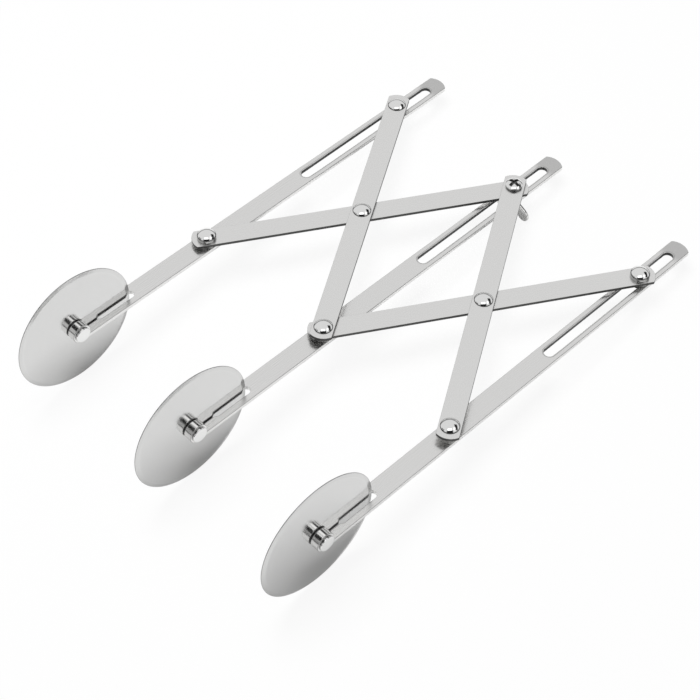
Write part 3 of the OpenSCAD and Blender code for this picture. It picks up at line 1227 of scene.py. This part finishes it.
@dataclass
class Wheel:
    """A cutting disc with its hub and axle."""

    layout: Layout
    side: Side
    wheel_r: float = 30.0
    wheel_t: float = 1.0
    bevel_w: float = 2.0
    edge_t: float = 0.3
    # Painted dark line just inside the disc's rim, standing in for shade on its bevel.
    dark_w: float = 0.16
    dark_soft: float = 0.1
    neck_r: float = 3.5
    hub_r: float = 4.3
    hub_len: float = 1.8
    head_r: float = 3.6
    head_h: float = 1.2
    edge_ease: float = 0.1
    bevel_ease: float = 0.25
    bore_ease: float = 0.15
    seat_ease: float = 0.05
    round_ease: float = 0.35
    crevice_h: float = 0.45
    seed_step: float = 5.0

    def build(self, space: ArmSpace) -> list[Piece]:
        """Turns the disc, the hub and the axle.

        Args:
            space: The arms' space.

        Returns:
            The three pieces.
        """
        lay, label = self.layout, self.side.label
        axle_r = lay.axle_d / 2.0
        place = space.sideways(0.0, lay.arm_y(self.side), axle_r)
        t, e, flat = self.wheel_t / 2.0, self.edge_t / 2.0, self.wheel_r - self.bevel_w
        disc = Turned(both_sides((
            (self.neck_r, -t, self.edge_ease), (flat, -t, self.bevel_ease),
            (self.wheel_r, -e, self.edge_ease))), closed=True, segments=256)
        bore, h = axle_r + lay.run_fit, self.hub_len / 2.0
        hub = Turned(both_sides((
            (bore, -h, self.bore_ease), (self.hub_r, -h, self.round_ease),
            (self.hub_r, -t, self.seat_ease), (self.neck_r, -t, 0.0))), closed=True)
        w, top = lay.bar_w / 2.0, lay.bar_w / 2.0 + self.head_h
        axle = Turned(both_sides((
            (0.0, -top, 0.0), (self.head_r, -top, self.round_ease),
            (self.head_r, -w, self.edge_ease), (axle_r, -w, 0.0))))
        # Painted shade bands where the axle's heads meet the eyes.
        head_shade = Crevice(((-w - self.crevice_h, -w), (w, w + self.crevice_h)))
        seed = self.seed_step * (self.side.value + 2)
        # The hub is painted dark over nearly its whole length, as shade in the gap between disc and eye.
        return [Piece(f"wheel_{label}", disc.shell(seed, raw=self._edge), place, TURNED_DISC, Slot.DISC),
                Piece(f"hub_{label}", hub.shell(seed, raw=Crevice(((-h, h),))), place, TURNED_HUB, Slot.HUB),
                Piece(f"axle_{label}", axle.shell(seed, raw=head_shade), place, POLISHED, Slot.RIVET)]

    def _edge(self, points: Array) -> Array:
        """Painted dark line at the disc's rim, standing in for shade: a cubic step of the radius just inside
        it.
        """
        radius = np.hypot(points[..., 0], points[..., 1])
        return smooth_step((radius - self.wheel_r + self.dark_w) / self.dark_soft)


@dataclass
class Pivot:
    """A domed rivet and the rings on its shank."""

    layout: Layout
    rivet: str
    x: float
    y: float
    head_base: float
    tail_base: float
    rings: dict[str, tuple[float, float]] = field(default_factory=dict)
    head_r: float = 4.2
    head_wall: float = 0.12
    dome_h: float = 1.7
    tail_r: float = 3.6
    tail_h: float = 1.0
    ring_r: float = 4.6
    collar_r: float = 4.3
    crevice_h: float = 0.26
    line_h: float = 0.12
    line_soft: float = 0.05
    tail_ease: float = 0.1
    under_ease: float = 0.03
    wall_ease: float = 0.05

    def build(self, space: ArmSpace) -> list[Piece]:
        """Turns the rivet and its rings.

        Args:
            space: The arms' space.

        Returns:
            The pieces.
        """
        shank = self.layout.rivet_d / 2.0
        wall = self.head_base + self.head_wall
        tail = arc_corners(self.tail_r, -self.tail_h, self.tail_base, 10, False)
        dome = arc_corners(self.head_r, self.dome_h, wall, 24, True)
        rivet = Turned((
            *tail, (self.tail_r, self.tail_base, self.tail_ease), (shank, self.tail_base, 0.0),
            (shank, self.head_base, 0.0), (self.head_r, self.head_base, self.under_ease),
            (self.head_r, wall, self.wall_ease), *dome))
        place = space.upright(self.x, self.y)
        seed = 0.31 * self.x + 0.17 * self.y
        # Painted shade round the foot of the dome, where the head meets the link.
        corner = Crevice(((self.head_base, wall + self.crevice_h),))
        pieces = [Piece(self.rivet, rivet.shell(seed, raw=corner), place, POLISHED, Slot.RIVET)]
        for name, (low, high) in self.rings.items():
            radius = self.collar_r if "collar" in name else self.ring_r
            # Painted shade lines at each ring's top and bottom, where it meets its neighbours.
            shade_lines = Crevice(((low, low + self.line_h), (high - self.line_h, high)), self.line_soft)
            shell = ring(radius, shank, low, high).shell(seed, raw=shade_lines)
            pieces.append(Piece(name, shell, place, SHADED_RING, Slot.WASHER))
        return pieces


def ring(outer: float, inner: float, low: float, high: float, most_ease: float = 0.16,
         bore_ease: float = 0.05) -> Turned:
    """A flat ring with eased edges.

    Args:
        outer: Outer radius.
        inner: Inner radius.
        low: Height of its underside.
        high: Height of its top.
        most_ease: Ease of the outer edges, less where the ring is thinner than four of them.
        bore_ease: Ease of the inner edges.

    Returns:
        The turned body.
    """
    ease = min(most_ease, (high - low) / 4.0)
    corners = ((inner, low, bore_ease), (outer, low, ease), (outer, high, ease), (inner, high, bore_ease))
    return Turned(corners, closed=True)


@dataclass
class Lock:
    """The lock screw with its rings and the wing nut."""

    layout: Layout
    screw_r: float = 2.0
    head_r: float = 3.8
    head_h: float = 2.6
    cross_span: float = 5.3
    cross_w: float = 1.4
    cross_depth: float = 1.7
    cross_taper: float = 0.9
    cross_wall: float = 0.3
    cross_lead: float = 0.4
    # Painted shade in the cross's recess and on the wall under the head.
    cross_raw: float = 0.9
    skirt_h: float = 1.2
    skirt_soft: float = 0.5
    under_ease: float = 0.12
    rim_ease: float = 0.2
    point_h: float = 0.5
    point_ease: float = 0.1
    thread_pitch: float = 0.7
    thread_depth: float = 0.36
    thread_skin: float = 0.4
    thread_start: float = 0.6
    thread_stop: float = 0.4
    thread_gap: float = 0.2
    thread_rows: int = 60
    ring_r: float = 4.6
    washer_t: float = 0.8
    nut_r: float = 4.0
    nut_end_r: float = 3.5
    nut_h: float = 4.4
    screw_out: float = 1.0
    wing_span: float = 20.0
    wing_h: float = 10.0
    wing_r: float = 3.0
    wing_t: float = 1.8
    wing_root: tuple[float, float] = (2.6, -2.2)
    wing_root_half: float = 1.25
    wing_swell: float = 1.05
    wing_power: float = 0.42
    wing_uv: tuple[float, float] = (30.0, 4.0)
    bore_ease: float = 0.25
    nut_ease: float = 0.3
    nut_end_ease: float = 0.4

    def build(self, space: ArmSpace) -> list[Piece]:
        """Builds the screw, its spacer, the plain washer and the wing nut.

        Args:
            space: The arms' space.

        Returns:
            The four pieces.
        """
        lay = self.layout
        place = space.upright(lay.rear_x, 0.0)
        under = -lay.arm_t - lay.play
        nut_z = under - self.washer_t
        spacer = ring(self.ring_r, self.screw_r, lay.play, lay.low_z - lay.play)
        washer = ring(self.ring_r, self.screw_r + lay.run_fit, nut_z, under)
        return [Piece("lock_screw", self._screw(nut_z), place, POLISHED, Slot.RIVET),
                Piece("lock_spacer", spacer.shell(2.0), place, SHADED_RING, Slot.WASHER),
                Piece("lock_washer", washer.shell(4.0), place, SHADED_RING, Slot.WASHER),
                Piece("wing_nut", self._nut(), space.upright(lay.rear_x, 0.0, nut_z), CAST_NUT, Slot.NUT)]

    def _screw(self, nut_z: float) -> Shell:
        """Turns the pan-head screw, then sinks the cross and cuts the thread.

        Args:
            nut_z: Height of the wing nut's base.

        Returns:
            The shell.
        """
        base = self.layout.up_top
        wall = base + self.head_h / 2.0
        end = nut_z - self.nut_h - self.screw_out
        thread_top = nut_z - self.thread_gap
        rise = np.linspace(end + self.point_h, thread_top, self.thread_rows)
        shank = [(self.screw_r, float(z), 0.0) for z in rise]
        screw = Turned((
            (0.0, end, 0.0), (self.screw_r - self.point_h, end, self.point_ease),
            (self.screw_r, end + 0.9 * self.point_h, 0.0), *shank, (self.screw_r, base, 0.0),
            (self.head_r, base, self.under_ease), (self.head_r, wall, self.rim_ease),
            *arc_corners(self.head_r, self.head_h / 2.0, wall, 64, True)), segments=320)

        def cross(points: Array) -> Array:
            """How far each point lies in the cross, the union of a bar along x and one along y.

            Args:
                points: Grid of the turned screw.

            Returns:
                Values from 0 to 1, with a cubic step at the walls.
            """
            x, y = points[..., 0], points[..., 1]
            a, b = np.abs(x), np.abs(y)
            half, thin = self.cross_span / 2.0, self.cross_w / 2.0
            inside = np.maximum(np.minimum(half - a, thin - b), np.minimum(half - b, thin - a))
            sunk = smooth_step(inside / self.cross_wall + self.cross_lead)
            return np.where(points[..., 2] > wall, sunk, 0.0)

        def raw(points: Array) -> Array:
            """Paints shade into the cross's recess and onto the wall under the head."""
            under_head_shade = Crevice(((base, base + self.skirt_h),), self.skirt_soft)
            return np.maximum(self.cross_raw * cross(points), under_head_shade(points))

        def cut(points: Array) -> Array:
            """Lowers the head inside the cross and pulls the thread's grooves in.

            The depth shrinks from the middle outwards. The thread is a triangle wave of
            the height less the turn's share of a pitch.

            Args:
                points: Grid of the turned screw.

            Returns:
                The changed grid.
            """
            x, y, z = points[..., 0], points[..., 1], points[..., 2]
            r, turn = np.hypot(x, y), np.arctan2(y, x)
            z = z - self.cross_depth * (1.0 - self.cross_taper * r / self.cross_span) * cross(points)
            wave = np.abs(2.0 * ((z / self.thread_pitch - turn / (2.0 * math.pi)) % 1.0) - 1.0)
            fade = smooth_step((z - end) / self.thread_start)
            fade = fade * smooth_step((thread_top - z) / self.thread_stop)
            threaded = (z < thread_top) & (r > self.screw_r - self.thread_skin)
            pull = np.where(threaded, self.thread_depth * wave * fade, 0.0)
            scale = 1.0 - pull / np.maximum(r, 1e-6)
            return np.stack([x * scale, y * scale, z], axis=-1)

        return screw.shell(1.0, cut, raw)

    def _nut(self) -> Shell:
        """Joins a tapered hub and two wings in one shell.

        Returns:
            The shell.
        """
        bore = self.screw_r + self.layout.run_fit
        hub = Turned((
            (bore, -self.nut_h, self.bore_ease), (self.nut_end_r, -self.nut_h, self.nut_end_ease),
            (self.nut_r, 0.0, self.nut_ease), (bore, 0.0, self.bore_ease)), closed=True)
        shell = hub.shell(3.0)
        for sign in (1.0, -1.0):
            shell.patch(*self._wing(sign))
        return shell

    def _wing(self, sign: float) -> tuple[Array, Array]:
        """One wing: a boxy rounded section carried along a widening axis to a round end.

        The axis runs from the hub to the centre of the round end. The outline stands off
        it by a half width that eases from the root to the end's radius and then
        follows a circle. Across the wing, the outline shrinks to the axis by a power of
        the cosine while the thickness grows by the same power of the sine.

        Args:
            sign: Which side of the hub the wing is on.

        Returns:
            The grid of points and its surface coordinates.
        """
        root = np.array(self.wing_root)
        tip = np.array([self.wing_span / 2.0 - self.wing_r, self.wing_r - self.wing_h])
        length = float(np.linalg.norm(tip - root))
        axis = (tip - root) / length
        side = np.array([-axis[1], axis[0]])
        run = np.linspace(0.0, 1.0, 22)
        half = self.wing_root_half + (self.wing_r - self.wing_root_half) * smooth_step(run * self.wing_swell)
        mid = root + axis * (run * length)[:, None]
        upper = mid + side * half[:, None]
        a = arc_angles(0.0, 90.0, 16)[1:]
        cap = tip + self.wing_r * (np.cos(a)[:, None] * side + np.sin(a)[:, None] * axis)
        outline = np.concatenate([upper, cap])
        centre = np.concatenate([mid, np.repeat(tip[None], a.size, axis=0)])
        mirror = 2.0 * (centre + np.sum((outline - centre) * axis, axis=1, keepdims=True) * axis) - outline
        outline = np.concatenate([outline, mirror[-2::-1]])
        centre = np.concatenate([centre, centre[-2::-1]])
        swing = np.linspace(-math.pi / 2.0, math.pi / 2.0, 25)
        shrink = np.abs(np.cos(swing)) ** self.wing_power
        shrink[[0, -1]] = 0.0
        thick = np.sign(swing) * np.abs(np.sin(swing)) ** self.wing_power * self.wing_t / 2.0
        plane = centre[:, None] + (outline - centre)[:, None] * shrink[None, :, None]
        x = thick[None, :] + 0.0 * plane[..., 0]
        points = np.stack([x, sign * plane[..., 0], plane[..., 1]], axis=-1)
        along = np.linspace(0.0, self.wing_uv[0], outline.shape[0])[:, None]
        uv = np.stack([along + 0.0 * swing, self.wing_uv[1] * swing[None, :] + 0.0 * along], axis=-1)
        return points, uv


@dataclass(frozen=True)
class Opening:
    """A soft box of directions in the studio with its own brightness."""

    azimuth: float
    height: float
    half_across: float
    half_up: float
    soft: float
    level: float
    roll: float = 0.0

    def over(self, graph: Graph, direction: Socket, below: Any) -> Socket:
        """Lays the opening over a brightness.

        The dot products with two axes across its middle are each mapped from a half
        width inwards over a soft border, and multiplied.

        Args:
            graph: The world's node tree.
            direction: Direction of the ray.
            below: Brightness outside the opening.

        Returns:
            The blended brightness.
        """
        a, e, c = math.radians(self.azimuth), math.radians(self.height), math.radians(self.roll)
        middle = np.array([math.cos(a) * math.cos(e), math.sin(a) * math.cos(e), math.sin(e)])
        flat = np.array([-math.sin(a), math.cos(a), 0.0])
        rise = np.cross(middle, flat)
        across = math.cos(c) * flat + math.sin(c) * rise
        up = math.cos(c) * rise - math.sin(c) * flat
        mask = graph.math("GREATER_THAN", graph.dot(direction, middle), 0.0)
        for axis, half in ((across, self.half_across), (up, self.half_up)):
            reach = graph.math("ABSOLUTE", graph.dot(direction, axis))
            part = graph.remap(reach, half + self.soft, half - self.soft, 0.0, 1.0)
            mask = graph.math("MULTIPLY", mask, part)
        return graph.math("MULTIPLY_ADD", mask, graph.math("SUBTRACT", self.level, below), below)


OVERHEAD_DARK = Opening(-132.0, 53.0, 0.42, 0.25, 0.03, 0.02)
NEAR_STRIP = Opening(-149.0, 28.0, 0.05, 0.34, 0.04, 0.03, -18.0)
RIGHT_DARK = Opening(-28.0, 38.0, 0.36, 0.19, 0.03, 0.02)
LEFT_WEDGE = Opening(128.0, 33.0, 0.11, 0.07, 0.03, 0.08)
FAR_STRIP = Opening(149.0, 28.0, 0.065, 0.34, 0.04, 0.03, 18.0)
PRONG_WINDOW = Opening(-51.0, 53.0, 0.19, 0.15, 0.05, 1.4)
DOME_WINDOW = Opening(-133.0, 76.0, 0.28, 0.14, 0.03, 1.8)


@dataclass(frozen=True)
class Studio:
    """A plain white studio: pale floor, soft lamp, even walls and the camera.

    The openings are laid on in their order. The rims of the domes mirror the dark ones
    overhead and at the sides, the discs mirror the eyes in front of the strips, and the
    two windows light the prongs' image and the tops of the domes.
    """

    eye: Triple = (-0.3433, -0.3942, 0.6856)
    forward: Triple = (0.38866, 0.4572, -0.79996)
    right: Triple = (0.71237, -0.6997, -0.05382)
    lens: float = 100.53
    sensor: float = 36.0
    clip: tuple[float, float] = (0.01, 50.0)
    floor_half: float = 6.0
    floor_tone: float = 0.9
    floor_seen: float = 0.9
    floor_mirrored: float = 0.1
    key_dir: Triple = (0.0, 0.17, 0.985)
    key_far: float = 1.0
    key_size: float = 0.5
    key_power: float = 8.0
    room: float = 0.35
    wall: float = 0.8
    skirting: float = 0.15
    skirting_rise: tuple[float, float] = (0.06, 0.24)
    openings: tuple[Opening, ...] = (
        OVERHEAD_DARK, NEAR_STRIP, RIGHT_DARK, LEFT_WEDGE, FAR_STRIP, PRONG_WINDOW, DOME_WINDOW)

    def camera(self) -> None:
        """Sets the camera at the photograph's angle."""
        data = bpy.data.cameras.new("camera")
        data.lens, data.sensor_width, data.sensor_fit = self.lens, self.sensor, "HORIZONTAL"
        data.clip_start, data.clip_end = self.clip
        back = -np.asarray(self.forward) / np.linalg.norm(self.forward)
        side = np.asarray(self.right) - back * float(np.dot(self.right, back))
        side = side / np.linalg.norm(side)
        camera = bpy.data.objects.new("camera", data)
        camera.matrix_world = self._aim(side, back, np.asarray(self.eye))
        bpy.context.scene.collection.objects.link(camera)
        bpy.context.scene.camera = camera

    def floor(self) -> bpy.types.Object:
        """Lays the floor: nearly white to the camera, mostly matt to metal, with the tool's shadow.

        Returns:
            The floor.
        """
        line = np.linspace(-self.floor_half, self.floor_half, 3)
        x, y = np.meshgrid(line, line, indexing="ij")
        shell = Shell()
        shell.patch(np.stack([x, y, 0.0 * x], axis=-1) / MM, np.stack([x, y], axis=-1))
        eye = np.eye(3)
        plane = shell.mesh("studio_floor", Local(np.zeros(3), eye[0], eye[1], eye[2]))
        made = bpy.data.materials.new("studio_floor")
        made.use_nodes = True
        graph = Graph(made.node_tree)
        path = graph.node("ShaderNodeLightPath")
        seen = graph.math("MULTIPLY", path.outputs["Is Camera Ray"], self.floor_seen)
        mirrored = graph.math("MULTIPLY", self._shiny(graph, path), self.floor_mirrored)
        matt = graph.node("ShaderNodeBsdfDiffuse", inputs={"Color": shade((1.0, 1.0, 1.0), self.floor_tone)})
        white = graph.node("ShaderNodeEmission", inputs={"Color": (1.0, 1.0, 1.0, 1.0), "Strength": 1.0})
        blend = graph.node("ShaderNodeMixShader", inputs={
            0: graph.math("ADD", seen, mirrored), 1: matt.outputs[0], 2: white.outputs[0]})
        graph.node("ShaderNodeOutputMaterial", inputs={"Surface": blend.outputs[0]})
        plane.data.materials.append(made)
        return plane

    def lights(self) -> None:
        """Hangs the soft lamp and paints the room that lights and mirrors the tool."""
        data = bpy.data.lights.new("softbox", "AREA")
        data.shape, data.size, data.energy = "SQUARE", self.key_size, self.key_power
        lamp = bpy.data.objects.new("softbox", data)
        back = np.asarray(self.key_dir) / np.linalg.norm(self.key_dir)
        side = np.cross([0.0, 1.0, 0.0], back)
        side = side / np.linalg.norm(side)
        lamp.matrix_world = self._aim(side, back, back * self.key_far)
        lamp.visible_glossy = False
        bpy.context.scene.collection.objects.link(lamp)
        world = bpy.data.worlds.new("studio_room")
        world.use_nodes = True
        bpy.context.scene.world = world
        graph = Graph(world.node_tree)
        direction = graph.node("ShaderNodeTexCoord").outputs["Generated"]
        path = graph.node("ShaderNodeLightPath")
        shiny = self._shiny(graph, path)
        mirrored = graph.math("MULTIPLY", shiny, self._walls(graph, direction))
        matt = graph.math("MULTIPLY", graph.math("SUBTRACT", 1.0, shiny), self.room)
        level = graph.math("MAXIMUM", graph.math("ADD", mirrored, matt), path.outputs["Is Camera Ray"])
        glow = graph.node("ShaderNodeBackground", inputs={"Color": (1.0, 1.0, 1.0, 1.0), "Strength": level})
        graph.node("ShaderNodeOutputWorld", inputs={"Surface": glow.outputs[0]})

    def _walls(self, graph: Graph, direction: Socket) -> Socket:
        """Brightness that metal sees: pale walls with the openings, darker close to the floor.

        Args:
            graph: The world's node tree.
            direction: Direction of the ray.

        Returns:
            The brightness.
        """
        level: Any = self.wall
        for opening in self.openings:
            level = opening.over(graph, direction, level)
        rise = graph.node("ShaderNodeSeparateXYZ", inputs={"Vector": direction}).outputs["Z"]
        return graph.math("MULTIPLY", level, graph.remap(rise, *self.skirting_rise, self.skirting, 1.0))

    @staticmethod
    def _shiny(graph: Graph, path: bpy.types.Node) -> Socket:
        """Whether a ray comes from a mirror or through glass: 1 or 0."""
        return graph.math("MAXIMUM", path.outputs["Is Glossy Ray"], path.outputs["Is Transmission Ray"])

    @staticmethod
    def _aim(side: Array, back: Array, at: Array) -> Matrix:
        """A place at a point, with x to the side, z to the back and y across both.

        Args:
            side: Unit vector to the right.
            back: Unit vector away from what is looked at.
            at: The point.

        Returns:
            The matrix.
        """
        turn = np.eye(4)
        turn[:3] = np.stack([side, np.cross(back, side), back, at], axis=1)
        return Matrix(turn.tolist())


def node_bodies() -> dict[str, str]:
    """The body of each CAD node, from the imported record."""
    return {node: body for body, nodes in frame["record"]["behaviour"]["bodies"].items() for node in nodes}


def assemblies(lay: Layout) -> list[Any]:
    """Lists the sub-assemblies in the order they are put together.

    Args:
        lay: The shared sizes.

    Returns:
        Objects whose build method gives finished pieces.
    """
    parts: list[Any] = [Arm(lay, side) for side in Side]
    parts += [Wheel(lay, side) for side in Side]
    parts += [
        Link(lay, "link_left_lower", Side.LEFT, Layer.LOWER, 60.0),
        Link(lay, "link_right_lower", Side.MIDDLE, Layer.LOWER, 90.0),
        Link(lay, "link_left_upper", Side.MIDDLE, Layer.UPPER, 130.0),
        Link(lay, "link_right_upper", Side.RIGHT, Layer.UPPER, 170.0)]
    cross, front, rear, y = lay.cross_x, lay.pivot_x, lay.rear_x, lay.spacing
    below = -lay.arm_t
    parts += [
        Pivot(lay, "cross_rivet_left", cross, y / 2.0, lay.up_top, lay.low_z - lay.play),
        Pivot(lay, "cross_rivet_right", cross, -y / 2.0, lay.up_top, lay.low_z - lay.play),
        Pivot(lay, "front_rivet_left", front, y, lay.head_z, below,
              {"front_washer_left": (0.0, lay.washer_t),
               "front_collar_left": (lay.low_top + lay.play, lay.head_z)}),
        Pivot(lay, "front_rivet_middle", front, 0.0, lay.head_z, below,
              {"front_washer_middle": (0.0, lay.washer_t)}),
        Pivot(lay, "front_rivet_right", front, -y, lay.head_z, below,
              {"front_spacer_right": (0.0, lay.up_z - lay.play)}),
        Pivot(lay, "slide_rivet_left", rear, y, lay.up_top, below - lay.play,
              {"slide_spacer_left": (lay.play, lay.up_z)}),
        Pivot(lay, "slide_rivet_right", rear, -y, lay.head_z, below - lay.play,
              {"slide_washer_right": (lay.play, lay.low_z),
               "slide_collar_right": (lay.low_top, lay.head_z)}),
        Lock(lay)]
    return parts


def main() -> None:
    """Builds the studio and the tool, piece by piece."""
    logging.basicConfig(level=logging.INFO, format="%(message)s")
    bpy.context.scene.view_settings.view_transform = "Standard"
    studio = Studio()
    studio.camera()
    studio.floor()
    studio.lights()
    lay = Layout()
    space = ArmSpace.from_frame(lay.pivot_x)
    bodies = node_bodies()
    for assembly in assemblies(lay):
        for piece in assembly.build(space):
            piece.make(bodies)


if __name__ == "__main__":
    main()
